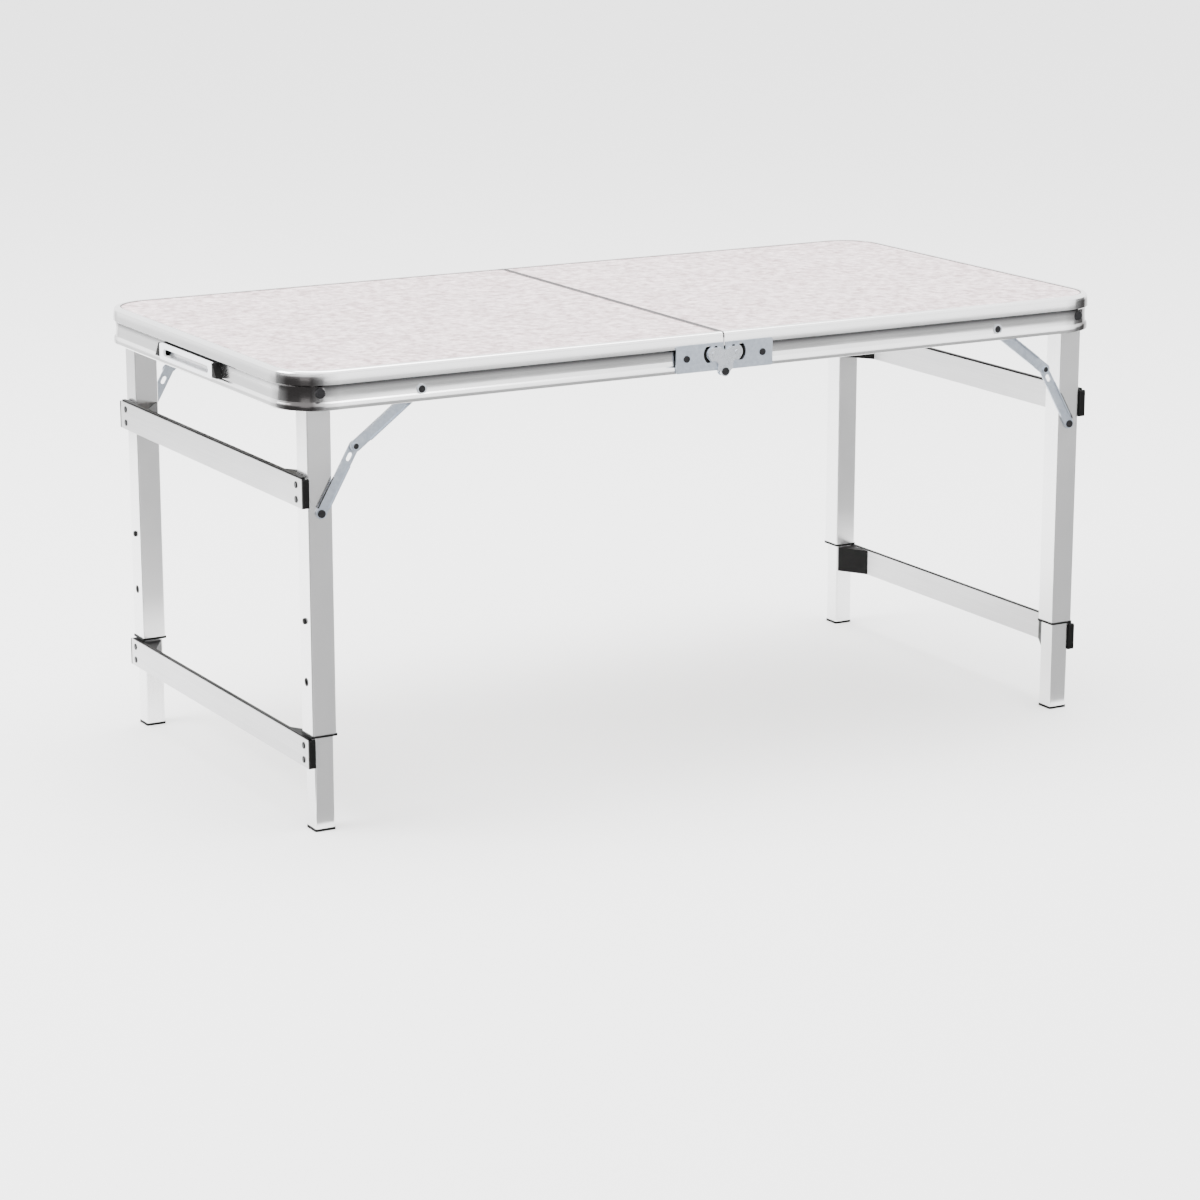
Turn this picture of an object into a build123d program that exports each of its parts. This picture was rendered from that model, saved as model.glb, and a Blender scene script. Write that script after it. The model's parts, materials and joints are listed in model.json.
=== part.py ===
"""Folding camping table: two half tops on a centre hinge, two telescopic leg frames, braces.

Frame: millimetres, +Z up, origin on the floor under the middle of the table, X along its
length, Y across it. The left half (-X) is modelled, its front (-Y) details are mirrored to the
back, and the whole left half is mirrored to the right.
"""
from build123d import *
import os
from math import sqrt

# Driving dimensions
length = 1200.0
width = 600.0
top_height = 575.0
rail_height = 48.0
corner_radius = 60.0
board_thickness = 4.0
laminate_thickness = 0.7
lip_thickness = 1.4
rail_lip = 9.0
seam_lip = 2.6
seam_gap = 1.2

leg_x = 556.0
leg_y = 268.0
upper_tube_size = 32.0
lower_tube_size = 26.0
tube_wall = 1.2
collar_bottom = 120.5
collar_rim = 2.5
foot_cap = 3.0
lower_tube_top = 310.0
button_height = 265.0
height_step = 76.5

bar_height = 36.0
upper_bar_bottom = 408.0
lower_bar_bottom = 82.0
bar_standoff = 1.2
bar_depth = 7.3
bar_cap = 3.5
gusset_reach = 42.0

leg_pivot_x = 558.5
leg_pivot_z = 548.5
brace_rail_x = 425.0
brace_rail_z = 542.0
brace_leg_x = 556.0
brace_leg_z = 400.0
lower_link_length = 91.0
upper_link_length = 106.4

hinge_pin_z = 525.5
leaf_length = 71.0
leaf_top = 563.0
leaf_rivet_x = 56.0
leaf_rivet_z = 545.5

handle_half = 82.6
latch_y = 150.0

# Levels and faces worked out from them
half_length = length / 2
half_width = width / 2
rail_bottom = top_height - rail_height
laminate_top = top_height - 0.8
board_top = laminate_top - laminate_thickness
board_bottom = board_top - board_thickness
band_top = top_height - 19.0
band_bottom = rail_bottom + 10.5
band_recess = 2.5
rail_wall = 4.0
leg_outer_y = leg_y + upper_tube_size / 2
pin_seat_y = half_width - 6.0


def block(x0, x1, y0, y1, z0, z1):
    """Box between two opposite corners."""
    centre = ((x0 + x1) / 2, (y0 + y1) / 2, (z0 + z1) / 2)
    return Pos(*centre) * Box(abs(x1 - x0), abs(y1 - y0), abs(z1 - z0))


def rod_y(radius, y0, y1, x, z):
    """Cylinder along Y."""
    return Pos(x, (y0 + y1) / 2, z) * Rot(90, 0, 0) * Cylinder(radius, abs(y1 - y0))


def rod_x(radius, x0, x1, y, z):
    """Cylinder along X."""
    return Pos((x0 + x1) / 2, y, z) * Rot(0, 90, 0) * Cylinder(radius, abs(x1 - x0))


def front_sketch(y, sketch):
    """A sketch in X and Z laid on the plane at y, facing the front."""
    return Plane(origin=(0, y, 0), x_dir=(1, 0, 0), z_dir=(0, -1, 0)) * sketch


def front_plate(sketch, y_back, y_front):
    """A plate with an X-Z outline between two depths, y_front being nearer the front."""
    return extrude(front_sketch(y_back, sketch), amount=y_back - y_front, dir=(0, -1, 0))


def front_and_back(shape):
    """The shape and its mirror image at the back of the table."""
    return [shape, mirror(shape, about=Plane.XZ)]


def save(name, shapes):
    """Write one sub-part as a STEP file of separate solids."""
    solids = []
    for shape in shapes:
        solids.extend(shape.solids())
    if len(solids) == 1:
        export_step(solids[0], f"parts/{name}.step")
    else:
        export_step(Compound(children=solids), f"parts/{name}.step")


def save_pair(name, shapes):
    """Write a left sub-part and its mirror image on the right."""
    save("left_" + name, shapes)
    save("right_" + name, [mirror(shape, about=Plane.YZ) for shape in shapes])


# Half top: board, laminate, rails
def rounded_half(inset, seam_inset, z0, z1):
    """Half top panel with its two outer corners rounded, set in from the rail and the seam."""
    x_end = -(half_length - inset)
    y_side = half_width - inset
    panel = block(x_end, -seam_gap - seam_inset, -y_side, y_side, z0, z1)
    corners = panel.edges().filter_by(Axis.Z).group_by(Axis.X)[0]
    return fillet(corners, corner_radius - inset)


def rail_profile():
    """Section of the edge rail: x is the depth in from the outside, y is the height."""
    bead = 4.2
    crown = 1.0
    crown_height = top_height - bead - band_top - 2.2
    crown_radius = (crown**2 + crown_height**2) / (2 * crown)
    hollow = 0.6
    hollow_radius = ((band_top - band_bottom) ** 2 / 4 + hollow**2) / (2 * hollow)
    lower_crown = 0.8
    lower_crown_height = 4.5
    lower_crown_radius = (lower_crown**2 + lower_crown_height**2) / (2 * lower_crown)
    ledge_edge = 9.0
    ledge_top = board_bottom - 0.1
    lip_bottom = top_height - lip_thickness
    foot = 2.0
    outline = [
        Line((rail_lip, top_height), (bead, top_height)),
        RadiusArc((bead, top_height), (crown, top_height - bead), -bead),
        RadiusArc((crown, top_height - bead), (0, band_top + 2.2), -crown_radius),
        Line((0, band_top + 2.2), (band_recess, band_top)),
        RadiusArc((band_recess, band_top), (band_recess, band_bottom), hollow_radius),
        Line((band_recess, band_bottom), (lower_crown, band_bottom - 1.7)),
        RadiusArc(
            (lower_crown, band_bottom - 1.7),
            (0, band_bottom - 1.7 - lower_crown_height),
            -lower_crown_radius,
        ),
        Line((0, band_bottom - 1.7 - lower_crown_height), (0, rail_bottom + foot)),
        RadiusArc((0, rail_bottom + foot), (foot, rail_bottom), -foot),
        Line((foot, rail_bottom), (rail_wall, rail_bottom)),
        Line((rail_wall, rail_bottom), (rail_wall, ledge_top - 2.9)),
        Line((rail_wall, ledge_top - 2.9), (ledge_edge, ledge_top - 1.1)),
        Line((ledge_edge, ledge_top - 1.1), (ledge_edge, ledge_top)),
        Line((ledge_edge, ledge_top), (rail_wall, ledge_top)),
        Line((rail_wall, ledge_top), (rail_wall, lip_bottom)),
        Line((rail_wall, lip_bottom), (rail_lip, lip_bottom)),
        Line((rail_lip, lip_bottom), (rail_lip, top_height)),
    ]
    return make_face(Wire(outline))


def rail_holes():
    """Everything drilled or notched in the front side of the rail."""
    cuts = [
        rod_y(3.0, -half_width - 5, -half_width + 8, -brace_rail_x, brace_rail_z),
        rod_y(2.5, -half_width - 5, -half_width + 8, -leaf_rivet_x, leaf_rivet_z),
        rod_y(4.0, -half_width - 5, -half_width + 8, 0, hinge_pin_z),
        rod_y(4.05, -half_width - 5, -half_width + 12, -leg_pivot_x, leg_pivot_z),
        rod_y(6.8, -half_width - 5, -pin_seat_y, -leg_pivot_x, leg_pivot_z),
    ]
    return cuts


def edge_rail():
    """Bright extruded rail bent round three sides of the half top."""
    straight_x = -(half_length - corner_radius)
    straight_y = half_width - corner_radius
    start = (-seam_gap, -half_width)
    front_end = (straight_x, -half_width)
    side_front = (-half_length, -straight_y)
    side_back = (-half_length, straight_y)
    back_end = (straight_x, half_width)
    finish = (-seam_gap, half_width)
    path = Wire([
        Line(start, front_end),
        RadiusArc(front_end, side_front, corner_radius),
        Line(side_front, side_back),
        RadiusArc(side_back, back_end, corner_radius),
        Line(back_end, finish),
    ])
    section_plane = Plane(origin=(-seam_gap, -half_width, 0), x_dir=(0, 1, 0), z_dir=(1, 0, 0))
    rail = sweep(section_plane * rail_profile(), path=path)
    for cut in rail_holes():
        rail -= cut
        rail -= mirror(cut, about=Plane.XZ)
    return rail


def seam_rail():
    """Thin rail that closes the half top at the centre seam."""
    reach = 290.8
    web = 1.6
    web_in = -seam_gap - web
    ledge_top = board_bottom - 0.1
    lip_bottom = top_height - lip_thickness
    wall = block(-seam_gap, web_in, -reach, reach, rail_bottom + 2, top_height)
    top_lip = block(-seam_gap, -seam_gap - seam_lip, -reach, reach, lip_bottom, top_height)
    ledge = block(web_in, web_in - 5, -reach, reach, ledge_top - 1.2, ledge_top)
    foot = block(web_in, web_in - 4, -reach, reach, rail_bottom + 2, rail_bottom + 3.4)
    rail = wall + top_lip + ledge + foot
    outer_edge = rail.edges().filter_by(Axis.Y).group_by(Axis.Z)[-1].sort_by(Axis.X)[-1]
    return fillet(outer_edge, 0.6)


# Centre hinge
leaf_back = half_width + 0.2
leaf_front = leaf_back + 2.0
plate_back = leaf_front + 0.3
plate_front = plate_back + 1.8
lobe_x = 17.0
lobe_z = 549.0
inner_leaf_out = half_width - rail_wall - 0.3
inner_leaf_in = inner_leaf_out - 2.0
hub_radius = 6.5
hinge_pin_radius = 3.2


def leaf_slot():
    """Crescent window round the lobe of the centre plate."""
    ring = Circle(14.2) - Circle(9.4)
    outer_half = Pos(-10, 0) * Rectangle(12, 22)
    return Pos(-lobe_x, lobe_z) * (ring & outer_half)


def leaf_plate():
    """Outline of a leaf on its half top, without its knuckle."""
    leaf_bottom = rail_bottom + 0.6
    centre_x = -(leaf_length + seam_gap + 0.4) / 2
    plate = Pos(centre_x, (leaf_bottom + leaf_top) / 2) * RectangleRounded(
        leaf_length - seam_gap - 0.4, leaf_top - leaf_bottom, 2.0
    )
    plate -= leaf_slot()
    plate -= Pos(-13.0, 556.5) * Circle(2.6)
    plate -= Pos(-leaf_rivet_x, leaf_rivet_z) * Circle(2.5)
    return plate


def left_leaf():
    """Left leaf, whose knuckle carries the hinge pin in front of the rail."""
    knuckle = Pos(0, hinge_pin_z) * Circle(hub_radius)
    knuckle += Pos(-4.5, hinge_pin_z + 3) * Rectangle(9, 7)
    outline = leaf_plate() + knuckle - Pos(0, hinge_pin_z) * Circle(hinge_pin_radius + 0.05)
    return front_plate(outline, -leaf_back, -leaf_front)


def right_leaf():
    """Right leaf, cut back round the left knuckle."""
    outline = mirror(leaf_plate(), about=Plane.YZ)
    outline -= Pos(0, hinge_pin_z) * Circle(9.6)
    return front_plate(outline, -leaf_back, -leaf_front)


def right_inner_leaf():
    """Plate inside the right rail, whose knuckle takes the inner end of the hinge pin."""
    plate_middle_x = 32.0
    plate_middle_z = 543.5
    plate = Pos(plate_middle_x, plate_middle_z) * RectangleRounded(60, 25, 3)
    neck = Polygon((2, 536), (2, 531), (-4, 529), (3, 519.8), (16, 532), (16, 540), align=None)
    knuckle = Pos(0, hinge_pin_z) * Circle(hub_radius)
    outline = plate + neck + knuckle
    outline -= Pos(0, hinge_pin_z) * Circle(hinge_pin_radius + 0.05)
    outline -= Pos(leaf_rivet_x, leaf_rivet_z) * Circle(2.5)
    return front_plate(outline, -inner_leaf_in, -inner_leaf_out)


def centre_plate():
    """Butterfly plate that joins the two leaves in front."""
    body = Polygon(
        (-lobe_x, lobe_z + 8), (lobe_x, lobe_z + 8), (lobe_x + 5, lobe_z - 7),
        (5.5, hinge_pin_z - 2), (-5.5, hinge_pin_z - 2), (-lobe_x - 5, lobe_z - 7), align=None,
    )
    lobe = Circle(8.2)
    outline = body + Pos(0, hinge_pin_z) * Circle(hub_radius)
    outline += Pos(-lobe_x, lobe_z) * lobe
    outline += Pos(lobe_x, lobe_z) * lobe
    outline -= Pos(0, lobe_z + 12) * Circle(7.5)
    outline -= Pos(-16.5, 533.5) * Circle(6.2)
    outline -= Pos(16.5, 533.5) * Circle(6.2)
    outline -= Pos(0, hinge_pin_z) * Circle(hinge_pin_radius)
    plate = front_plate(outline, -plate_back, -plate_front)
    for side in (-1, 1):
        plate += rod_y(3.0, -plate_front - 0.9, -plate_front, side * lobe_x, lobe_z)
    return plate


def hinge_pin():
    """Pin of the centre hinge with its two heads."""
    shank = rod_y(hinge_pin_radius, -plate_front, -inner_leaf_in + 0.1, 0, hinge_pin_z)
    outer_head = rod_y(5.0, -plate_front - 1.6, -plate_front, 0, hinge_pin_z)
    outer_head = fillet(outer_head.edges().group_by(Axis.Y)[0], 0.8)
    inner_head = rod_y(4.6, -inner_leaf_in + 0.1, -inner_leaf_in + 1.4, 0, hinge_pin_z)
    return shank + outer_head + inner_head


def leaf_spacer():
    """Black pad that fills the rail's hollow band behind a leaf."""
    pad = block(
        -leaf_length + 2, -3, -half_width + band_recess, -leaf_back + 0.1,
        band_bottom + 0.6, band_top - 0.6,
    )
    pad -= rod_y(2.5, -half_width - 1, -half_width + 4, -leaf_rivet_x, leaf_rivet_z)
    return pad


def rivet(radius, head_radius, y_face, head_height, y_end, tail_height, x, z):
    """Rivet along Y: domed head in front of y_face, shank to y_end and a tail beyond it."""
    shank = rod_y(radius, y_face, y_end, x, z)
    head = rod_y(head_radius, y_face - head_height, y_face, x, z)
    head = fillet(head.edges().group_by(Axis.Y)[0], head_height * 0.6)
    tail = rod_y(head_radius, y_end, y_end + tail_height, x, z)
    return shank + head + tail


# Leg frame
def square_tube(size, x, y, z0, z1):
    """Square tube with rounded corners."""
    outer = RectangleRounded(size, size, 2.0)
    inner = RectangleRounded(size - 2 * tube_wall, size - 2 * tube_wall, 1.0)
    return Pos(x, y, z0) * extrude(outer - inner, amount=z1 - z0)


upper_tube_top = leg_pivot_z + 8.0
upper_tube_end = collar_bottom + collar_rim
upper_face_x = leg_x + upper_tube_size / 2
lower_face_x = leg_x + lower_tube_size / 2
pin_radius = 4.0


def upper_tube():
    """Outer tube of a leg, drilled for its pivot, brace, bar and buttons."""
    tube = square_tube(upper_tube_size, -leg_x, -leg_y, upper_tube_end, upper_tube_top)
    tube -= rod_y(pin_radius + 0.05, -half_width, -leg_y + 20, -leg_pivot_x, leg_pivot_z)
    tube -= rod_y(3.0, -half_width, -leg_outer_y + 3, -brace_leg_x, brace_leg_z)
    for z in bar_rivet_heights(upper_bar_bottom):
        tube -= rod_x(2.0, -upper_face_x - 2, -upper_face_x + 3, -leg_y, z)
    for z in (button_height, button_height - height_step):
        tube -= rod_x(4.1, -upper_face_x - 2, -upper_face_x + 3, -leg_y, z)
    return tube


def tube_plug():
    """Plastic plug in the top of an outer tube, bored for the pivot pin."""
    inner = upper_tube_size - 2 * tube_wall - 0.1
    plug = Pos(-leg_x, -leg_y, leg_pivot_z - 12) * extrude(
        RectangleRounded(inner, inner, 1.2), amount=20.5
    )
    plug -= rod_y(pin_radius + 0.05, -half_width, -leg_y + 20, -leg_pivot_x, leg_pivot_z)
    return plug


def collar():
    """Black plastic collar: a rim under the outer tube and a sleeve inside it."""
    rim_size = upper_tube_size + 2.5
    sleeve_size = upper_tube_size - 2 * tube_wall - 0.1
    bore_size = lower_tube_size + 0.5
    rim = extrude(RectangleRounded(rim_size, rim_size, 3.0), amount=collar_rim)
    sleeve = extrude(RectangleRounded(sleeve_size, sleeve_size, 1.0), amount=collar_rim + 32)
    bore = extrude(RectangleRounded(bore_size, bore_size, 2.0), amount=collar_rim + 32)
    return Pos(-leg_x, -leg_y, collar_bottom) * (rim + sleeve - bore)


def bar_rivet_heights(bar_bottom):
    """Heights of the two rivets at each end of a crossbar."""
    middle = bar_bottom + bar_height / 2
    return (middle - 9.0, middle + 9.0)


def crossbar(face_x, tube_size, bar_bottom):
    """Aluminium channel between the two legs, open at the top."""
    reach = leg_y + tube_size / 2
    inner_x = face_x + bar_standoff
    outer_x = inner_x + bar_depth
    wall = 1.2
    bar = block(-inner_x, -outer_x, -reach, reach, bar_bottom, bar_bottom + bar_height)
    bar -= block(
        -inner_x - wall, -outer_x + wall, -reach, reach, bar_bottom + wall, bar_bottom + bar_height
    )
    for z in bar_rivet_heights(bar_bottom):
        for y in (-leg_y, leg_y):
            bar -= rod_x(2.0, -outer_x - 1, -inner_x + 1, y, z)
    return bar


def bar_bracket(face_x, tube_size, bar_bottom):
    """Black bracket: a pad under the bar, a cap over its end and a gusset beside the leg."""
    inner_y = leg_y - tube_size / 2
    outer_y = leg_y + tube_size / 2
    inner_x = face_x + bar_standoff
    outer_x = inner_x + bar_depth
    top = bar_bottom + bar_height
    pad = block(-face_x, -inner_x, -outer_y, -inner_y, bar_bottom, top)
    for z in bar_rivet_heights(bar_bottom):
        pad -= rod_x(2.0, -inner_x - 1, -face_x + 1, -leg_y, z)
    cap = block(-face_x, -outer_x, -outer_y - bar_cap, -outer_y, bar_bottom, top)
    cap = fillet(cap.edges().filter_by(Axis.X).group_by(Axis.Y)[0], 2.0)
    corner_x = -(leg_x - tube_size / 2) - 2
    triangle = Polygon(
        (corner_x, -inner_y), (-inner_x, -inner_y), (-inner_x, -inner_y + gusset_reach), align=None
    )
    gusset = extrude(Pos(0, 0, bar_bottom) * triangle, amount=bar_height, dir=(0, 0, 1))
    return pad + cap + gusset


def bar_rivets(face_x, bar_bottom):
    """Two rivets that hold one end of a crossbar to its leg."""
    outer_x = face_x + bar_standoff + bar_depth
    rivets = []
    for z in bar_rivet_heights(bar_bottom):
        shank = rod_x(1.95, -outer_x, -face_x + tube_wall + 0.8, -leg_y, z)
        head = rod_x(3.2, -outer_x - 1.0, -outer_x, -leg_y, z)
        head = fillet(head.edges().group_by(Axis.X)[0], 0.6)
        rivets.append(shank + head)
    return rivets


def leg_hinge():
    """Bracket under the board and the pin on which a leg folds."""
    plate_y = -leg_y + upper_tube_size / 2 + 1.5
    plate = block(
        -leg_pivot_x - 15, -leg_pivot_x + 15, plate_y, plate_y + 2, leg_pivot_z - 12, board_bottom
    )
    flange = block(
        -leg_pivot_x - 15, -leg_pivot_x + 15, plate_y, plate_y + 26, board_bottom - 2, board_bottom
    )
    bracket = plate + flange
    bracket -= rod_y(pin_radius, plate_y - 2, plate_y + 4, -leg_pivot_x, leg_pivot_z)
    pin = rod_y(pin_radius, -pin_seat_y, plate_y + 2, -leg_pivot_x, leg_pivot_z)
    head = rod_y(6.4, -pin_seat_y - 2.2, -pin_seat_y, -leg_pivot_x, leg_pivot_z)
    head = fillet(head.edges().group_by(Axis.Y)[0], 1.0)
    sleeve = rod_y(6.4, -pin_seat_y + 1.9, -leg_outer_y - 0.3, -leg_pivot_x, leg_pivot_z)
    end = rod_y(6.0, plate_y + 2, plate_y + 4, -leg_pivot_x, leg_pivot_z)
    sleeve -= rod_y(pin_radius, -half_width, 0, -leg_pivot_x, leg_pivot_z)
    sleeve -= Pos(-half_length + corner_radius, -half_width + corner_radius, 0) * tray_corner()
    return [bracket, pin + head + end, sleeve]


def tray_corner():
    """Everything outside the inner face of the rail's rounded corner."""
    tall = 2 * top_height
    outside = Cylinder(corner_radius + 20, 2 * tall)
    return outside - Cylinder(corner_radius - rail_wall - 0.1, 2 * tall)


# Braces: gaps count outwards from the leg's face, so that the two links pass side by side
lower_plate = (0.8, 2.4)
lower_rib = 3.8
upper_plate = (4.1, 5.7)
upper_rib = 8.0


def knuckle_point():
    """Place of the brace's knuckle at rest, on the corner side of the straight line."""
    dx = brace_leg_x - brace_rail_x
    dz = brace_rail_z - brace_leg_z
    span = sqrt(dx * dx + dz * dz)
    along = (span**2 + lower_link_length**2 - upper_link_length**2) / (2 * span)
    off = sqrt(lower_link_length**2 - along**2)
    x = -brace_leg_x + along * dx / span - off * dz / span
    z = brace_leg_z + along * dz / span + off * dx / span
    return x, z


def link_frame(start, end, gap):
    """Plane at a gap from the leg's face, with x from start to end and z outwards."""
    return Plane(
        origin=(start[0], -leg_outer_y - gap, start[1]),
        x_dir=(end[0] - start[0], 0, end[1] - start[1]),
        z_dir=(0, -1, 0),
    )


def link_bar(length_on, width_on, overhang):
    """Outline of a link from its first pivot at the origin to its second along x."""
    total = length_on + 2 * overhang
    return Pos(length_on / 2, 0) * RectangleRounded(total, width_on, width_on / 2 - 0.1)


def lower_link():
    """Brace link on the leg, with a window near the knuckle and a rib along each edge."""
    knuckle = knuckle_point()
    pivot = (-brace_leg_x, brace_leg_z)
    width_on = 14.0
    outline = link_bar(lower_link_length, width_on, 6.5)
    outline -= Circle(3.05)
    outline -= Pos(lower_link_length - 15, 0) * SlotOverall(11, 5.6)
    base = link_frame(pivot, knuckle, lower_plate[0]) * outline
    link = extrude(base, amount=lower_plate[1] - lower_plate[0])
    rib_frame = link_frame(pivot, knuckle, lower_plate[1])
    for side in (-1, 1):
        rib = Pos(lower_link_length * 0.42, side * (width_on / 2 - 0.8)) * Rectangle(56, 1.6)
        link += extrude(rib_frame * rib, amount=lower_rib - lower_plate[1])
    stud = rib_frame * (Pos(lower_link_length, 0) * Circle(4.0))
    link += extrude(stud, amount=lower_rib - lower_plate[1])
    return link


def upper_link():
    """Brace link on the rail: a shallow channel with a flat tongue at the knuckle."""
    knuckle = knuckle_point()
    pivot = (-brace_rail_x, brace_rail_z)
    width_on = 15.0
    outline = link_bar(upper_link_length, width_on, 7.0)
    outline -= Circle(3.05)
    base = link_frame(pivot, knuckle, upper_plate[0]) * outline
    link = extrude(base, amount=upper_plate[1] - upper_plate[0])
    rib_frame = link_frame(pivot, knuckle, upper_plate[1])
    for side in (-1, 1):
        rib = Pos(upper_link_length * 0.46, side * (width_on / 2 - 0.8)) * Rectangle(76, 1.6)
        link += extrude(rib_frame * rib, amount=upper_rib - upper_plate[1])
    head = extrude(rib_frame * (Pos(upper_link_length, 0) * Circle(4.5)), amount=1.5)
    return link + head


def brace_leg_pin():
    """Rivet that holds the lower link to the leg."""
    shank = rod_y(
        3.0, -leg_outer_y - lower_plate[1], -leg_outer_y + 2.4, -brace_leg_x, brace_leg_z
    )
    head = rod_y(
        5.0, -leg_outer_y - lower_rib, -leg_outer_y - lower_plate[1] - 0.1, -brace_leg_x, brace_leg_z
    )
    neck = rod_y(
        3.0, -leg_outer_y - lower_plate[1] - 0.2, -leg_outer_y, -brace_leg_x, brace_leg_z
    )
    return shank + head + neck


def brace_rail_pin():
    """Rivet and spacer that hold the upper link to the rail."""
    face = -half_width + band_recess
    wall_in = -half_width + rail_wall
    link_out = -leg_outer_y - upper_plate[1] - 0.1
    link_in = -leg_outer_y - upper_plate[0] + 0.1
    spacer = rod_y(6.0, wall_in, link_out, -brace_rail_x, brace_rail_z)
    pin = rivet(3.0, 4.5, face, 1.6, link_in, 1.3, -brace_rail_x, brace_rail_z)
    return [pin + spacer]


# Telescopic lower frame
def lower_tube():
    """Inner tube of a leg, with holes in line with the button and the empty hole."""
    tube = square_tube(lower_tube_size, -leg_x, -leg_y, foot_cap, lower_tube_top)
    for z in (button_height, button_height - height_step):
        tube -= rod_x(5.5, -lower_face_x - 2, -lower_face_x + 3, -leg_y, z)
    for z in bar_rivet_heights(lower_bar_bottom):
        tube -= rod_x(2.0, -lower_face_x - 2, -lower_face_x + 3, -leg_y, z)
    return tube


def foot_cap_solid():
    """Black foot cap with its plug in the tube."""
    cap_size = lower_tube_size + 1.4
    plug_size = lower_tube_size - 2 * tube_wall - 0.1
    cap = extrude(RectangleRounded(cap_size, cap_size, 2.4), amount=foot_cap)
    plug = extrude(RectangleRounded(plug_size, plug_size, 1.2), amount=foot_cap + 15)
    return Pos(-leg_x, -leg_y, 0) * (cap + plug)


def button():
    """Spring button in the upper hole of the outer tube."""
    stem = rod_x(4.0, -upper_face_x - 2.6, -lower_face_x - 0.3, -leg_y, button_height)
    stem = fillet(stem.edges().group_by(Axis.X)[0], 1.6)
    flange = rod_x(
        5.0, -upper_face_x + tube_wall + 0.1, -lower_face_x - 0.3, -leg_y, button_height
    )
    return stem + flange


# Handle and latches
handle_x = half_length + 4.5
handle_z = 553.0


def handle_grip():
    """Flat grip with a finger slot and two stub pins."""
    size_z = 20.8
    centre_z = handle_z + 3.0 - size_z / 2
    outline = RectangleRounded(2 * handle_half, size_z, 4.0) - Pos(0, -0.6) * SlotOverall(142, 9.6)
    plane = Plane(origin=(-handle_x + 1.5, 0, centre_z), x_dir=(0, 1, 0), z_dir=(1, 0, 0))
    grip = extrude(plane * outline, amount=-3.0)
    for side in (-1, 1):
        grip += rod_y(
            1.45, side * (handle_half - 1), side * (handle_half + 2.6), -handle_x, handle_z
        )
    return grip


def handle_base():
    """Black strip in the top of the rail's band and two wedge lugs that carry the grip's pins."""
    band_x = half_length - band_recess
    low = band_bottom + 0.4
    high = band_top - 0.4
    strip_out = -handle_x + 3.6
    base = block(-band_x, strip_out, -handle_half - 1, handle_half + 1, high - 2.8, high)
    lug_face = -half_length - 6.4
    plane = Plane(origin=(-band_x, 0, 0), x_dir=(0, 1, 0), z_dir=(1, 0, 0))
    for side in (-1, 1):
        y = handle_half + 0.7
        wedge = Polygon(
            (side * y, low), (side * (y + 13), low), (side * (y + 2), high), (side * y, high),
            align=None,
        )
        lug = extrude(plane * wedge, amount=-lug_face - band_x, dir=(-1, 0, 0))
        lug -= rod_y(1.5, side * (y - 1), side * (y + 2.2), -handle_x, handle_z)
        base += lug
    return base


latch_pivot_x = half_length + 2.4
latch_pivot_z = 549.0


def latch_mount(y):
    """Plate in the band of the right rail with two ears and the latch's rod."""
    low = band_bottom + 0.5
    high = band_top - 0.5
    mount = block(half_length - band_recess, half_length + 0.2, y - 14, y + 14, low, high)
    for side in (-1, 1):
        mount += block(
            half_length, latch_pivot_x + 2.6, y + side * 11.5, y + side * 14,
            latch_pivot_z - 2.6, latch_pivot_z + 2.6,
        )
    return mount + rod_y(1.5, y - 13.5, y + 13.5, latch_pivot_x, latch_pivot_z)


def latch(y):
    """Swinging latch with a hook for the other half's rail and a finger tab."""
    reach = 11.2
    arm_in = half_length + 2.9
    arm_out = arm_in + 1.5
    plate = 1.6
    low = 2 * hinge_pin_z - band_bottom - 2.5
    knuckle = rod_y(2.15, y - reach, y + reach, latch_pivot_x, latch_pivot_z)
    arm = block(arm_in, arm_out, y - reach, y + reach, low, latch_pivot_z)
    hook = block(half_length - 1.6, arm_in, y - reach, y + reach, low, low + plate)
    tab = block(arm_out, arm_out + 2.0, y - 8, y + 8, low, low + plate)
    window = block(arm_in - 0.9, arm_out + 1.6, y - 5, y + 5, low + 12, low + 24)
    bore = rod_y(1.55, y - 20, y + 20, latch_pivot_x, latch_pivot_z)
    return knuckle + arm + hook + tab - window - bore


def fasteners(inner_face):
    """Leaf rivet, brace rivet and bracket screws of the front side of a half top."""
    leaf_rivet = rivet(
        2.45, 4.5, -leaf_front, 1.3, -inner_face, 1.3, -leaf_rivet_x, leaf_rivet_z
    )
    screws = []
    for dx in (-9, 9):
        y = -leg_y + upper_tube_size / 2 + 19
        head = Pos(-leg_pivot_x + dx, y, board_bottom - 2.9) * Cylinder(3.6, 1.8)
        screws.append(head)
    return [leaf_rivet] + brace_rail_pin() + screws


def mirrored_back(shapes):
    """A list of front shapes followed by their mirror images at the back."""
    both = list(shapes)
    for shape in shapes:
        both.append(mirror(shape, about=Plane.XZ))
    return both


os.makedirs("parts", exist_ok=True)

save_pair("board", [rounded_half(rail_wall + 0.1, 2.0, board_bottom, board_top)])
save_pair("laminate", [rounded_half(rail_lip + 0.1, seam_lip + 0.1, board_top, laminate_top)])
save_pair("edge_rail", [edge_rail()])
save_pair("seam_rail", [seam_rail()])
save_pair("hinge_spacers", front_and_back(leaf_spacer()))
save_pair("leg_hinges", mirrored_back(leg_hinge()))
save_pair("handle_base", [handle_base()])
save_pair("handle_grip", [handle_grip()])

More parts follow.
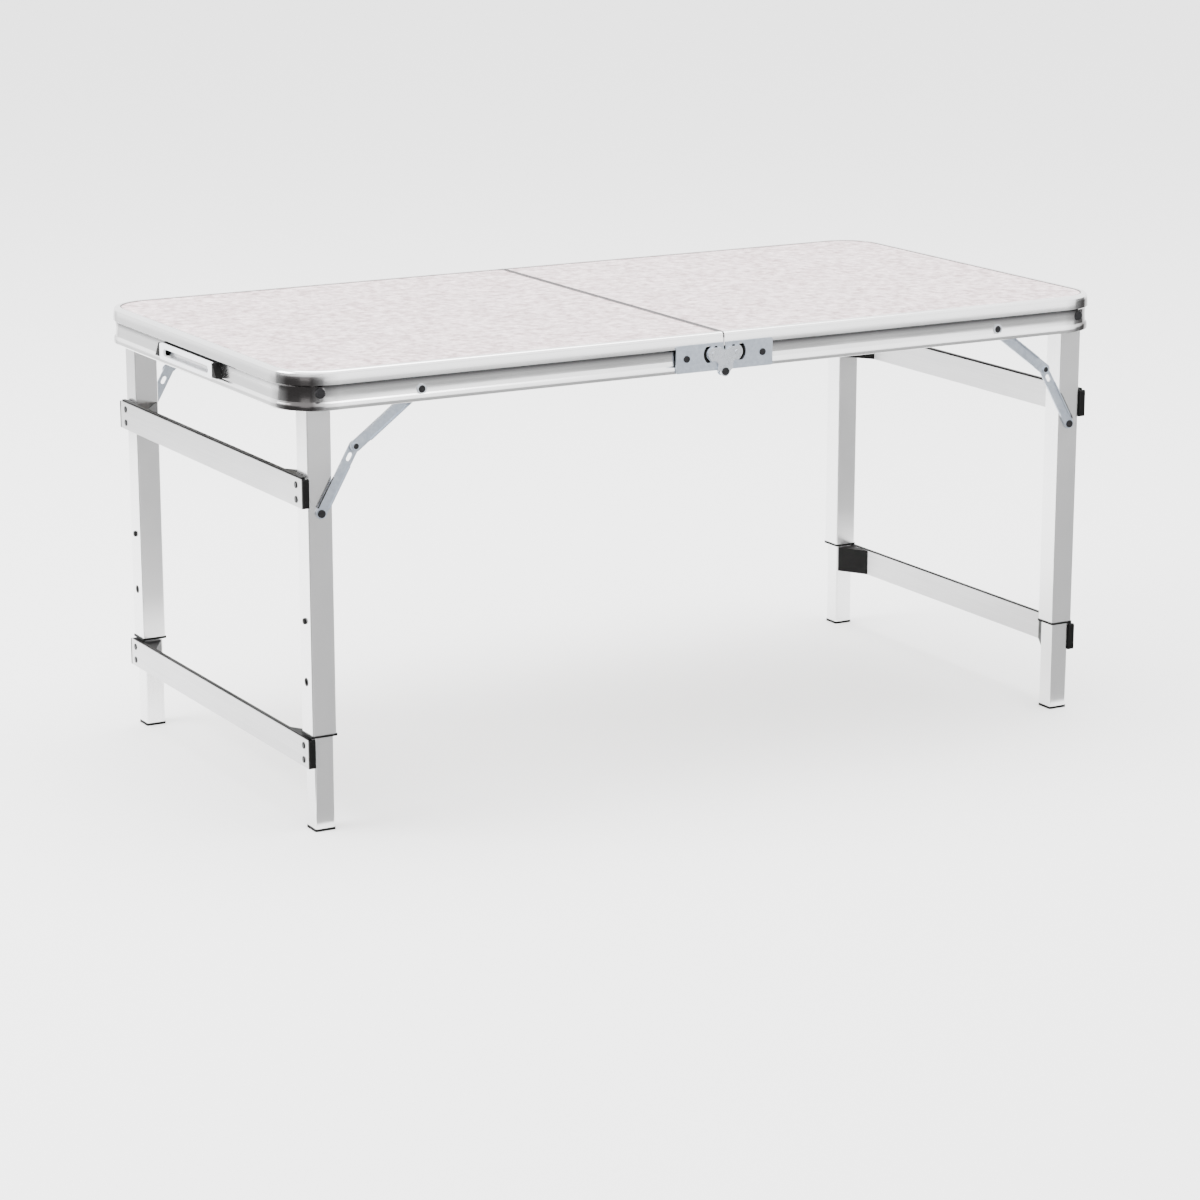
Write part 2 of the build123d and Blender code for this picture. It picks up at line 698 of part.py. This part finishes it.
save("left_hinge_leaves", front_and_back(left_leaf()))
save("right_hinge_leaves", mirrored_back([right_leaf(), right_inner_leaf()]))
save("left_fasteners", mirrored_back(fasteners(half_width - rail_wall)))
right_fasteners = mirrored_back(fasteners(inner_leaf_in))
save("right_fasteners", [mirror(shape, about=Plane.YZ) for shape in right_fasteners])
save("centre_plates", front_and_back(centre_plate()))
save("centre_pins", front_and_back(hinge_pin()))
save("latch_mounts", [latch_mount(-latch_y), latch_mount(latch_y)])
save("front_latch", [latch(-latch_y)])
save("rear_latch", [latch(latch_y)])

save_pair("upper_tubes", front_and_back(upper_tube()))
save_pair("tube_plugs", front_and_back(tube_plug()))
save_pair("collars", front_and_back(collar()))
save_pair("upper_crossbar", [crossbar(upper_face_x, upper_tube_size, upper_bar_bottom)])
upper_brackets = front_and_back(bar_bracket(upper_face_x, upper_tube_size, upper_bar_bottom))
save_pair("upper_brackets", upper_brackets)
upper_rivets = bar_rivets(upper_face_x, upper_bar_bottom) + [brace_leg_pin()]
save_pair("upper_rivets", mirrored_back(upper_rivets))

save_pair("lower_tubes", front_and_back(lower_tube()))
save_pair("foot_caps", front_and_back(foot_cap_solid()))
save_pair("lower_crossbar", [crossbar(lower_face_x, lower_tube_size, lower_bar_bottom)])
lower_brackets = front_and_back(bar_bracket(lower_face_x, lower_tube_size, lower_bar_bottom))
save_pair("lower_brackets", lower_brackets)
save_pair("lower_rivets", mirrored_back(bar_rivets(lower_face_x, lower_bar_bottom)))

for name, shape in (("lower_link", lower_link()), ("upper_link", upper_link()), ("button", button())):
    save_pair("front_" + name, [shape])
    save_pair("rear_" + name, [mirror(shape, about=Plane.XZ)])
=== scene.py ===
"""Looks of the folding table: materials, small surface details, floor, light and camera.

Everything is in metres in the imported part's own frame: +Z up, +X along the table, floor at 0.
"""

import json
from math import cos, pi, sin

import bmesh
import bpy
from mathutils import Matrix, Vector


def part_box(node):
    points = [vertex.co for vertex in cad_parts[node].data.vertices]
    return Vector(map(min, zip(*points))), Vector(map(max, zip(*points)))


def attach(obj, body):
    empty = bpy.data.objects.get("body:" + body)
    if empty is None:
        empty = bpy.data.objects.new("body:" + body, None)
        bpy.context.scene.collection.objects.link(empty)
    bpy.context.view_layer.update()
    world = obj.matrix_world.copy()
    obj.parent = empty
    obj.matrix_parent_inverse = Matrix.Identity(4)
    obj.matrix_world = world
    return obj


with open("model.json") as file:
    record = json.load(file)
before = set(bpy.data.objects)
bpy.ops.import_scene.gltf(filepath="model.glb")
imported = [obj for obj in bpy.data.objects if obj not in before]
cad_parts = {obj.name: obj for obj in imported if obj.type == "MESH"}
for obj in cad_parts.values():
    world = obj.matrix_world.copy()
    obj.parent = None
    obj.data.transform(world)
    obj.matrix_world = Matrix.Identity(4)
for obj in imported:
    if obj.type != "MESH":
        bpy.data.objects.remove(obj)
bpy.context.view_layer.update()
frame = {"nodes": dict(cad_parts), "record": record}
nodes = frame["nodes"]


# Material helpers
def add(tree, kind, **inputs):
    """A shader node with its input sockets set by name."""
    node = tree.nodes.new(kind)
    for key, value in inputs.items():
        node.inputs[key.replace("_", " ")].default_value = value
    return node


def grain(tree, stretch, scale, detail=6.0, rough=0.6):
    """Noise in the object's own metres, stretched by a scale for each axis."""
    place = add(tree, "ShaderNodeTexCoord")
    mapping = add(tree, "ShaderNodeMapping")
    mapping.inputs["Scale"].default_value = stretch
    noise = add(tree, "ShaderNodeTexNoise", Scale=scale, Detail=detail, Roughness=rough)
    tree.links.new(place.outputs["Object"], mapping.inputs["Vector"])
    tree.links.new(mapping.outputs["Vector"], noise.inputs["Vector"])
    return noise.outputs["Fac"]


def spread(tree, source, low, high, start=0.3, end=0.7):
    """The source remapped to run from low to high."""
    node = add(tree, "ShaderNodeMapRange")
    node.inputs["From Min"].default_value = start
    node.inputs["From Max"].default_value = end
    node.inputs["To Min"].default_value = low
    node.inputs["To Max"].default_value = high
    tree.links.new(source, node.inputs["Value"])
    return node.outputs["Result"]


def place_axes(tree):
    """Node whose X, Y and Z outputs are the place in the object's own metres."""
    place = add(tree, "ShaderNodeTexCoord")
    axes = add(tree, "ShaderNodeSeparateXYZ")
    tree.links.new(place.outputs["Object"], axes.inputs[0])
    return axes


def product(tree, first, second):
    """The two outputs multiplied."""
    node = add(tree, "ShaderNodeMath")
    node.operation = "MULTIPLY"
    tree.links.new(first, node.inputs[0])
    tree.links.new(second, node.inputs[1])
    return node.outputs[0]


def groove_mask(tree, bottom, top, fade_down, fade_up):
    """1 between two heights, fading to 0 below and above."""
    height = place_axes(tree).outputs["Z"]
    rising = spread(tree, height, 0.0, 1.0, bottom - fade_down, bottom)
    falling = spread(tree, height, 1.0, 0.0, top, top + fade_up)
    return product(tree, rising, falling)


def corner_mask(tree, starts, fade, top, fade_up):
    """1 round the table's outer corners below a height, fading to 0 elsewhere.

    starts are the distances from the middle, along X and Y, where the mask begins.
    """
    axes = place_axes(tree)
    mask = spread(tree, axes.outputs["Z"], 1.0, 0.0, top, top + fade_up)
    for axis, start in zip("XY", starts):
        distance = add(tree, "ShaderNodeMath")
        distance.operation = "ABSOLUTE"
        tree.links.new(axes.outputs[axis], distance.inputs[0])
        near = spread(tree, distance.outputs[0], 0.0, 1.0, start, start + fade)
        mask = product(tree, mask, near)
    return mask


def edge_mask(tree, radius):
    """Near 1 along sharp edges and 0 on flats, for worn or rubbed corners."""
    bevel = add(tree, "ShaderNodeBevel", Radius=radius)
    bevel.samples = 4
    geometry = add(tree, "ShaderNodeNewGeometry")
    dot = add(tree, "ShaderNodeVectorMath")
    dot.operation = "DOT_PRODUCT"
    tree.links.new(bevel.outputs["Normal"], dot.inputs[0])
    tree.links.new(geometry.outputs["Normal"], dot.inputs[1])
    return spread(tree, dot.outputs["Value"], 1.0, 0.0, 0.75, 0.97)


def mix_colour(tree, factor, first, second):
    """Colour that goes from first to second with the factor."""
    node = add(tree, "ShaderNodeMix")
    node.data_type = "RGBA"
    tree.links.new(factor, node.inputs["Factor"])
    for index, colour in ((6, first), (7, second)):
        if isinstance(colour, tuple):
            node.inputs[index].default_value = (*colour, 1.0)
        else:
            tree.links.new(colour, node.inputs[index])
    return node.outputs[2]


def finish_material(
    name, low, high, worn, metallic, rough, stretch, scale, bump, edge=0.0006, specular=0.5
):
    """Principled material: two tones of grain, rubbed edges, uneven gloss and a fine bump.

    low and high are the two tones, worn the edge colour, rough the (smooth, dull) roughness.
    """
    material = bpy.data.materials.new(name)
    material.use_nodes = True
    tree = material.node_tree
    shader = tree.nodes["Principled BSDF"]
    shader.inputs["Metallic"].default_value = metallic
    shader.inputs["Specular IOR Level"].default_value = specular
    lines = grain(tree, stretch, scale)
    patches = grain(tree, (1.0, 1.0, 1.0), 9.0, detail=4.0)
    tone = mix_colour(tree, spread(tree, lines, 0.0, 1.0), low, high)
    if worn is not None:
        tone = mix_colour(tree, edge_mask(tree, edge), tone, worn)
    tree.links.new(tone, shader.inputs["Base Color"])
    tree.links.new(spread(tree, patches, rough[0], rough[1]), shader.inputs["Roughness"])
    relief = add(tree, "ShaderNodeBump", Strength=bump[0], Distance=bump[1])
    tree.links.new(lines, relief.inputs["Height"])
    tree.links.new(relief.outputs["Normal"], shader.inputs["Normal"])
    return material


along_z = (1.0, 1.0, 0.01)
along_y = (1.0, 0.01, 1.0)
along_path = (0.006, 0.006, 1.0)
even = (1.0, 1.0, 1.0)

laminate = finish_material(
    "white laminate", (0.28, 0.18, 0.188), (0.88, 0.755, 0.765), None,
    0.0, (0.34, 0.48), even, 95.0, (0.08, 0.0002),
)
board = finish_material(
    "pressed board", (0.50, 0.47, 0.43), (0.62, 0.59, 0.55), None,
    0.0, (0.6, 0.8), even, 420.0, (0.3, 0.0003),
)
rail = finish_material(
    "bright rail", (0.84, 0.84, 0.85), (0.93, 0.93, 0.93), (0.97, 0.97, 0.97),
    1.0, (0.13, 0.20), along_path, 900.0, (0.05, 0.0001),
)

# The rail's colour has painted shade: a dark line at the top of its hollow band and darkened outer
# corners
rail_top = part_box("left_edge_rail")[1][2]
line_top = rail_top - 0.0172
line_width = 0.0026
corner_top = rail_top - 0.007
corner_starts = (0.534, 0.236)
corner_fade = 0.034
rail_tree = rail.node_tree
rail_colour = rail_tree.nodes["Principled BSDF"].inputs["Base Color"]
plain = rail_colour.links[0].from_socket
# Painted shade: the dark line stands in for the shadow under the rail's top bead
line = groove_mask(rail_tree, line_top - line_width, line_top, 0.0060, 0.0006)
lined = mix_colour(rail_tree, line, plain, (0.22, 0.22, 0.225))
# Painted reflection: the outer corners are darkened where the bent metal would mirror dark
# surroundings
corner = corner_mask(rail_tree, corner_starts, corner_fade, corner_top, 0.005)
shaded = mix_colour(rail_tree, corner, lined, (0.085, 0.08, 0.08))
rail_tree.links.new(shaded, rail_colour)

seam = finish_material(
    "grey seam strip", (0.07, 0.065, 0.066), (0.12, 0.112, 0.113), None,
    0.0, (0.4, 0.55), along_y, 900.0, (0.05, 0.0001), specular=0.2,
)
tube = finish_material(
    "drawn tube", (0.84, 0.84, 0.85), (0.90, 0.90, 0.90), None,
    0.94, (0.18, 0.26), along_z, 700.0, (0.05, 0.0001),
)
bar = finish_material(
    "drawn channel", (0.50, 0.50, 0.505), (0.58, 0.58, 0.585), (0.72, 0.72, 0.72),
    0.9, (0.28, 0.38), along_y, 700.0, (0.06, 0.0001),
)
zinc = finish_material(
    "bluish zinc", (0.42, 0.47, 0.55), (0.56, 0.61, 0.68), (0.78, 0.80, 0.84),
    0.9, (0.26, 0.42), even, 260.0, (0.12, 0.0001),
)
bright_zinc = finish_material(
    "bright zinc", (0.62, 0.66, 0.72), (0.76, 0.79, 0.84), (0.86, 0.88, 0.90),
    0.9, (0.20, 0.34), even, 260.0, (0.10, 0.0001),
)
rivet = finish_material(
    "dull rivet", (0.008, 0.008, 0.009), (0.02, 0.02, 0.021), (0.05, 0.05, 0.052),
    0.5, (0.34, 0.5), even, 500.0, (0.12, 0.0001), specular=0.25,
)
black = finish_material(
    "black plastic", (0.002, 0.002, 0.002), (0.005, 0.005, 0.005), (0.012, 0.012, 0.012),
    0.0, (0.45, 0.6), even, 1400.0, (0.25, 0.0001), specular=0.10,
)
rubber = finish_material(
    "hard rubber", (0.003, 0.003, 0.003), (0.007, 0.007, 0.007), (0.02, 0.02, 0.02),
    0.0, (0.6, 0.8), even, 900.0, (0.35, 0.0002), specular=0.10,
)
grey = finish_material(
    "grey plastic", (0.66, 0.67, 0.70), (0.72, 0.73, 0.76), (0.84, 0.84, 0.86),
    0.0, (0.28, 0.40), even, 1200.0, (0.12, 0.0001),
)

side_finishes = {
    "board": board, "laminate": laminate, "edge_rail": rail, "seam_rail": seam,
    "hinge_leaves": zinc, "hinge_spacers": black, "fasteners": rivet, "leg_hinges": rivet,
    "handle_base": black, "handle_grip": grey, "upper_tubes": tube, "tube_plugs": black,
    "upper_crossbar": bar, "upper_brackets": black, "upper_rivets": rivet, "collars": black,
    "lower_tubes": tube, "lower_crossbar": bar, "lower_brackets": black, "lower_rivets": rivet,
    "foot_caps": rubber, "front_lower_link": zinc, "rear_lower_link": zinc,
    "front_upper_link": zinc, "rear_upper_link": zinc, "front_button": black,
    "rear_button": black,
}
finishes = {
    "centre_plates": bright_zinc, "centre_pins": rivet, "latch_mounts": black,
    "front_latch": bright_zinc, "rear_latch": bright_zinc,
}
for side in ("left", "right"):
    for name, material in side_finishes.items():
        finishes[f"{side}_{name}"] = material
for node_name, material in finishes.items():
    slots = nodes[node_name].data.materials
    if len(slots) == 0:
        slots.append(material)
    for index in range(len(slots)):
        slots[index] = material


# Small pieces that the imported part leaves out
def plain_piece(name, mesh, material, body):
    """A new object with one material that rides on a body."""
    piece = bpy.data.objects.new(name, mesh)
    bpy.context.scene.collection.objects.link(piece)
    mesh.materials.append(material)
    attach(piece, body)
    return piece


def box_mesh(name, low_corner, high_corner):
    """Mesh of a box between two corners."""
    shape = bmesh.new()
    bmesh.ops.create_cube(shape, size=1.0)
    for vertex in shape.verts:
        for axis in range(3):
            centre = (low_corner[axis] + high_corner[axis]) / 2
            vertex.co[axis] = centre + vertex.co[axis] * (high_corner[axis] - low_corner[axis])
    mesh = bpy.data.meshes.new(name)
    shape.to_mesh(mesh)
    shape.free()
    return mesh


def closed_mesh(name, points, faces):
    """Mesh of points and faces with its normals turned outwards."""
    mesh = bpy.data.meshes.new(name)
    mesh.from_pydata(points, [], faces)
    mesh.update()
    shape = bmesh.new()
    shape.from_mesh(mesh)
    bmesh.ops.recalc_face_normals(shape, faces=shape.faces)
    shape.to_mesh(mesh)
    shape.free()
    return mesh


def ring_mesh(name, places, axis, outward, radii, thickness):
    """Flat rings round some places, facing along X (0) or Y (1), each with its thickness outwards.

    radii are the inner and the outer radius, outward is -1 or 1 along the axis.
    """
    steps = 40
    points = []
    faces = []
    for place in places:
        base = len(points)
        for depth in (0.0, outward * thickness):
            for radius in radii:
                for step in range(steps):
                    turn = 2 * pi * step / steps
                    point = [place[0], place[1], place[2] + radius * sin(turn)]
                    point[axis] += depth
                    point[1 - axis] += radius * cos(turn)
                    points.append(point)
        for step in range(steps):
            after = (step + 1) % steps
            for first, second in ((0, 1), (1, 3), (3, 2), (2, 0)):
                faces.append((
                    base + first * steps + step, base + first * steps + after,
                    base + second * steps + after, base + second * steps + step,
                ))
    return closed_mesh(name, points, faces)


def edge_outline(half_low, half_high, inset, radius, outward):
    """Points along the three outer sides of a half top, set in, with round corners.

    outward is -1 for the left half and 1 for the right half.
    """
    end_x = half_low[0] + inset if outward < 0 else half_high[0] - inset
    seam_x = half_high[0] if outward < 0 else half_low[0]
    front_y = half_low[1] + inset
    back_y = half_high[1] - inset
    steps = 12
    points = [(seam_x, front_y)]
    for step in range(steps + 1):
        turn = pi / 2 * step / steps
        points.append((
            end_x - outward * (radius - radius * sin(turn)), front_y + radius - radius * cos(turn),
        ))
    for step in range(steps + 1):
        turn = pi / 2 * step / steps
        points.append((
            end_x - outward * (radius - radius * cos(turn)), back_y - radius + radius * sin(turn),
        ))
    points.append((seam_x, back_y))
    return points


def strip_mesh(name, outer, inner, bottom, top):
    """Solid strip between two outlines with the same number of points."""
    count = len(outer)
    points = []
    for outline, height in ((outer, bottom), (inner, bottom), (inner, top), (outer, top)):
        points.extend((x, y, height) for x, y in outline)
    faces = [(0, count, 2 * count, 3 * count), tuple(k * count - 1 for k in (1, 2, 3, 4))]
    for step in range(count - 1):
        for row in range(4):
            after = (row + 1) % 4
            faces.append((
                row * count + step, row * count + step + 1,
                after * count + step + 1, after * count + step,
            ))
    return closed_mesh(name, points, faces)


def disc_mesh(name, place, radius, thickness):
    """Low round rivet head facing along Y, from the place outwards by the thickness."""
    shape = bmesh.new()
    bmesh.ops.create_cone(
        shape, cap_ends=True, segments=32, radius1=radius, radius2=radius * 0.75,
        depth=thickness,
    )
    outward = 1.0 if place[1] > 0 else -1.0
    for vertex in shape.verts:
        x, y, z = vertex.co
        vertex.co = (place[0] + x, place[1] + outward * (z + thickness / 2), place[2] + y)
    bmesh.ops.recalc_face_normals(shape, faces=shape.faces)
    mesh = bpy.data.meshes.new(name)
    shape.to_mesh(mesh)
    shape.free()
    return mesh


# Crossbars: a black piece inside each channel as painted shade for the shadow in its open top, and
# black rings round its rivets
bar_wall = 0.0013
bar_rivet_rise = 0.009
half_tube = {"upper": 0.016, "lower": 0.013}
channel_shade_rise = {"upper": 0.0022, "lower": 0.0010}
channel_shade_depth = 0.006
channel_shade_inset = 0.002
rivet_ring = (0.0031, 0.0043)
ring_thickness = 0.0005
for side in ("left", "right"):
    for level, body in (("upper", f"{side}_leg"), ("lower", f"{side}_height_frame")):
        # Painted shade: a black box inside the open channel, rising a little above it, stands in
        # for the shadow there
        bar_low, bar_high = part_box(f"{side}_{level}_crossbar")
        name = f"{side}_{level}_bar_liner"
        mesh = box_mesh(
            name,
            (bar_low[0] + bar_wall, bar_low[1] + channel_shade_inset, bar_high[2] - channel_shade_depth),
            (bar_high[0] - bar_wall, bar_high[1] - channel_shade_inset, bar_high[2] + channel_shade_rise[level]),
        )
        plain_piece(name, mesh, black, body)
        outward = -1 if side == "left" else 1
        middle_z = (bar_low[2] + bar_high[2]) / 2
        places = [
            (bar_low[0] if side == "left" else bar_high[0], y, middle_z + rise)
            for y in (bar_low[1] + half_tube[level], bar_high[1] - half_tube[level])
            for rise in (-bar_rivet_rise, bar_rivet_rise)
        ]
        name = f"{side}_{level}_rivet_rings"
        mesh = ring_mesh(name, places, 0, outward, rivet_ring, ring_thickness)
        plain_piece(name, mesh, black, body)

# Washers under the brace pins on the rail
joint_places = {joint["name"]: joint["pos_m"] for joint in frame["record"]["behaviour"]["joints"]}
band_depth = 0.0024
washer = (0.0046, 0.0066)
for side in ("left", "right"):
    rail_low, rail_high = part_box(f"{side}_edge_rail")
    for end, face in (("front", rail_low[1] + band_depth), ("rear", rail_high[1] - band_depth)):
        pivot = joint_places[f"{side}_{end}_upper_link_turn"]
        name = f"{side}_{end}_brace_washer"
        outward = -1 if end == "front" else 1
        places = [(pivot[0], face, pivot[2])]
        mesh = ring_mesh(name, places, 1, outward, washer, ring_thickness)
        plain_piece(name, mesh, bright_zinc, f"{side}_half")

# Black rings set into the outer tubes round the empty height holes
height_step = 0.0765
grommet = (0.0026, 0.0054)
grommet_depth = 0.0011
grommet_lip = 0.0002
for side, outward in (("left", -1), ("right", 1)):
    tubes_low, tubes_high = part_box(f"{side}_upper_tubes")
    hole_x = (tubes_low if side == "left" else tubes_high)[0] - outward * grommet_depth
    hole_z = joint_places[f"{side}_front_button_press"][2] - height_step
    places = [
        (hole_x, y, hole_z)
        for y in (tubes_low[1] + half_tube["upper"], tubes_high[1] - half_tube["upper"])
    ]
    name = f"{side}_hole_grommets"
    mesh = ring_mesh(name, places, 0, outward, grommet, grommet_depth + grommet_lip)
    plain_piece(name, mesh, black, f"{side}_leg")

# Brace knuckles: a rivet head on the upper link, and a thin dark strip on the lower link as
# painted shade for its shadowed side flange
knuckle_head = 0.0036
knuckle_thickness = 0.0008
shade_strip_width = 0.0011
shade_strip_start = 0.004
shade_strip_length = 0.042
shade_strip_side = 0.0071
shade_strip_inner = 0.0012
shade_strip_outer = 0.0002
for side, sign in (("left", -1), ("right", 1)):
    for end, out in (("front", -1), ("rear", 1)):
        link_low, link_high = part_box(f"{side}_{end}_lower_link")
        over_low, over_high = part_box(f"{side}_{end}_upper_link")
        pivot = joint_places[f"{side}_{end}_lower_link_turn"]
        knuckle_x = link_low[0] + link_high[0] - pivot[0]
        knuckle_z = link_low[2] + link_high[2] - pivot[2]
        face = (over_low if out < 0 else over_high)[1] - out * knuckle_thickness
        name = f"{side}_{end}_knuckle_rivet"
        place = (knuckle_x, face, knuckle_z)
        mesh = disc_mesh(name, place, knuckle_head, knuckle_thickness)
        plain_piece(name, mesh, rivet, f"{side}_{end}_upper_link")
        # Painted shade: a dark strip along the lower link's leg-side edge, where its flange is in
        # shadow
        along = Vector((knuckle_x - pivot[0], 0.0, knuckle_z - pivot[2])).normalized()
        across = Vector((sign * abs(along.z), 0.0, abs(along.x)))
        start = Vector((pivot[0], 0.0, pivot[2])) + along * shade_strip_start + across * shade_strip_side
        finish = start + along * shade_strip_length
        points = []
        for depth in sorted((pivot[1] - out * shade_strip_inner, pivot[1] + out * shade_strip_outer)):
            for end_point, push in ((start, 0.0), (finish, 0.0), (finish, 1.0), (start, 1.0)):
                place = end_point + across * shade_strip_width * push
                points.append((place.x, depth, place.z))
        faces = [
            (0, 1, 2, 3), (4, 5, 6, 7), (0, 1, 5, 4), (1, 2, 6, 5), (2, 3, 7, 6), (3, 0, 4, 7),
        ]
        name = f"{side}_{end}_link_edge"
        plain_piece(
            name, closed_mesh(name, points, faces), rivet,
            f"{side}_{end}_lower_link",
        )

# Grey sealing line between the laminate and the rail's lip
seal_width = 0.0016
seal_height = 0.0003
lip_width = 0.0092
corner_radius = 0.060
for side, outward in (("left", -1), ("right", 1)):
    half_low, half_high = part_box(f"{side}_edge_rail")
    seal_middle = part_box(f"{side}_laminate")[1][2]
    outlines = [
        edge_outline(half_low, half_high, inset, corner_radius - inset, outward)
        for inset in (lip_width, lip_width + seal_width)
    ]
    name = f"{side}_rim_seal"
    seal = strip_mesh(
        name, *outlines, seal_middle - seal_height, seal_middle + seal_height
    )
    plain_piece(name, seal, seam, f"{side}_half")


# Floor, light and camera
def panel(name, size, place, aim, power):
    """Soft rectangular light pointed at a place."""
    data = bpy.data.lights.new(name, "AREA")
    data.shape = "RECTANGLE"
    data.size, data.size_y = size
    data.energy = power
    light = bpy.data.objects.new(name, data)
    light.location = place
    light.rotation_euler = (Vector(aim) - Vector(place)).to_track_quat("-Z", "Y").to_euler()
    bpy.context.scene.collection.objects.link(light)


def flat_material(name, colour, dull):
    """Plain material for the floor, with very faintly uneven gloss."""
    material = bpy.data.materials.new(name)
    material.use_nodes = True
    tree = material.node_tree
    shader = tree.nodes["Principled BSDF"]
    shader.inputs["Base Color"].default_value = (*colour, 1.0)
    shader.inputs["Specular IOR Level"].default_value = 0.1
    patches = grain(tree, even, 3.0)
    gloss = spread(tree, patches, dull - 0.05, dull + 0.05)
    tree.links.new(gloss, shader.inputs["Roughness"])
    return material


bpy.ops.mesh.primitive_plane_add(size=80.0, location=(0.0, 0.0, 0.0))
floor = bpy.context.object
floor.name = "studio_floor"
floor.data.materials.append(flat_material("studio floor", (0.93, 0.93, 0.93), 0.9))

world = bpy.data.worlds.new("studio")
bpy.context.scene.world = world
world.use_nodes = True
sky = world.node_tree.nodes["Background"]
sky.inputs["Color"].default_value = (1.0, 1.0, 1.0, 1.0)
sky.inputs["Strength"].default_value = 3.2

middle = (0.0, 0.0, 0.35)
panel("key_light", (3.0, 3.0), (-4.2, 0.8, 2.6), middle, 300.0)
panel("top_light", (4.0, 3.0), (0.5, 0.5, 4.5), middle, 300.0)


def flag(name, corners, shade):
    """Card that only reflections see: it gives bright metal something dark to mirror."""
    mesh = bpy.data.meshes.new(name)
    mesh.from_pydata(corners, [], [tuple(range(len(corners)))])
    card = bpy.data.objects.new(name, mesh)
    bpy.context.scene.collection.objects.link(card)
    material = bpy.data.materials.new(name)
    material.use_nodes = True
    tree = material.node_tree
    tree.nodes.remove(tree.nodes["Principled BSDF"])
    glow = add(tree, "ShaderNodeEmission", Color=(shade, shade, shade, 1.0), Strength=1.0)
    tree.links.new(glow.outputs["Emission"], tree.nodes["Material Output"].inputs["Surface"])
    mesh.materials.append(material)
    card.visible_camera = False
    card.visible_diffuse = False
    card.visible_shadow = False
    card.visible_transmission = False


def standing(start, end, bottom, top):
    """Corners of an upright card between two places on the floor."""
    return [(*start, bottom), (*end, bottom), (*end, top), (*start, top)]


# Brightness and height of the cards: grey in front, darker beside the near corners
front_grey = 0.62
corner_dark = 0.45
corner_middle = 0.60
corner_side = 0.55
side_bright = 1.7
short_card = 0.40
tall_card = 0.66
low = 0.003
flag("front_flag", standing((-0.9, -2.3), (3.2, -1.7), low, short_card), front_grey)
flag("front_floor_flag", [
    (-0.62, -2.3, low), (3.2, -1.7, low), (1.6, -0.3, low), (-0.62, -0.3, low),
], front_grey)
flag("corner_flag_near", standing((-1.75, -1.9), (-0.68, -2.3), low, tall_card), corner_dark)
flag("corner_flag_middle", standing((-2.5, -1.45), (-1.75, -1.9), low, 0.46), corner_middle)
flag("corner_flag_far", standing((-2.5, -1.45), (-2.5, -0.1), low, tall_card), corner_dark)
flag("corner_flag_side", standing((-2.5, -0.1), (-2.3, 1.0), low, tall_card), corner_side)
flag("side_flag", standing((-2.3, 1.0), (-0.9, 2.6), low, short_card), side_bright)
flag("right_flag", standing((2.5, -1.55), (2.5, 0.1), low, tall_card), corner_dark)
flag("corner_floor_flag", [
    (-0.66, -0.34, low), (-0.66, -2.3, low), (-1.75, -1.9, low), (-2.5, -1.45, low),
    (-2.5, -0.1, low), (-2.3, 1.0, low), (-0.85, -0.1, low),
], corner_dark)
flag("right_floor_flag", [
    (0.70, -0.36, 2 * low), (2.5, -1.55, 2 * low), (2.5, 0.1, 2 * low), (0.70, -0.2, 2 * low),
], corner_dark)

camera_place = Vector((-2.3108, -4.0568, 1.3431))
camera_yaw = 0.516
camera_pitch = 0.248
view = Vector((
    sin(camera_yaw) * cos(camera_pitch), cos(camera_yaw) * cos(camera_pitch), -sin(camera_pitch),
))
camera_data = bpy.data.cameras.new("camera")
camera_data.sensor_width = 36.0
camera_data.lens = 106.3
camera_data.clip_end = 200.0
camera = bpy.data.objects.new("camera", camera_data)
camera.location = camera_place
camera.rotation_euler = view.to_track_quat("-Z", "Y").to_euler()
bpy.context.scene.collection.objects.link(camera)
bpy.context.scene.camera = camera
